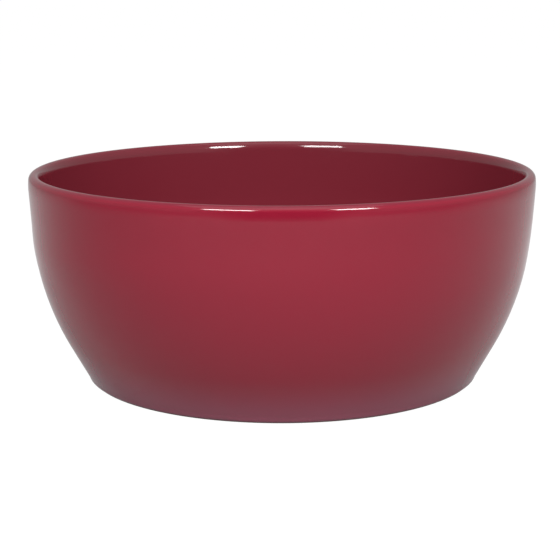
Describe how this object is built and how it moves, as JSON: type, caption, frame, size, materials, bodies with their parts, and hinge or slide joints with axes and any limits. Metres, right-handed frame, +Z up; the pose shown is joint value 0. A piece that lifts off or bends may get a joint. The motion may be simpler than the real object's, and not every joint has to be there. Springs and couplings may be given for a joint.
{
  "type": "glazed ceramic table bowl",
  "caption": "Deep round ceramic bowl with slanted lower wall, soft belly and near-upright rim, glossy raspberry red glaze inside and out, bare foot ring.",
  "frame": {"origin": "centre of the foot ring's bearing face, on the table", "axes": "+Z up along the bowl's axis of rotation; +X and +Y level and interchangeable"},
  "size_m": [0.2802, 0.2802, 0.1152],
  "materials": {
    "fired_clay": "matte",
    "bare_foot_clay": "matte",
    "outer_glaze": "gloss",
    "lip_glaze": "gloss",
    "inner_glaze": "gloss",
    "underside_glaze": "gloss"
  },
  "bodies": {
    "root": {"clay_body": "fired_clay", "foot_ring": "bare_foot_clay", "outer_glaze": "outer_glaze", "lip_glaze": "lip_glaze", "inner_glaze": "inner_glaze", "underside_glaze": "underside_glaze"}
  },
  "joints": []
}
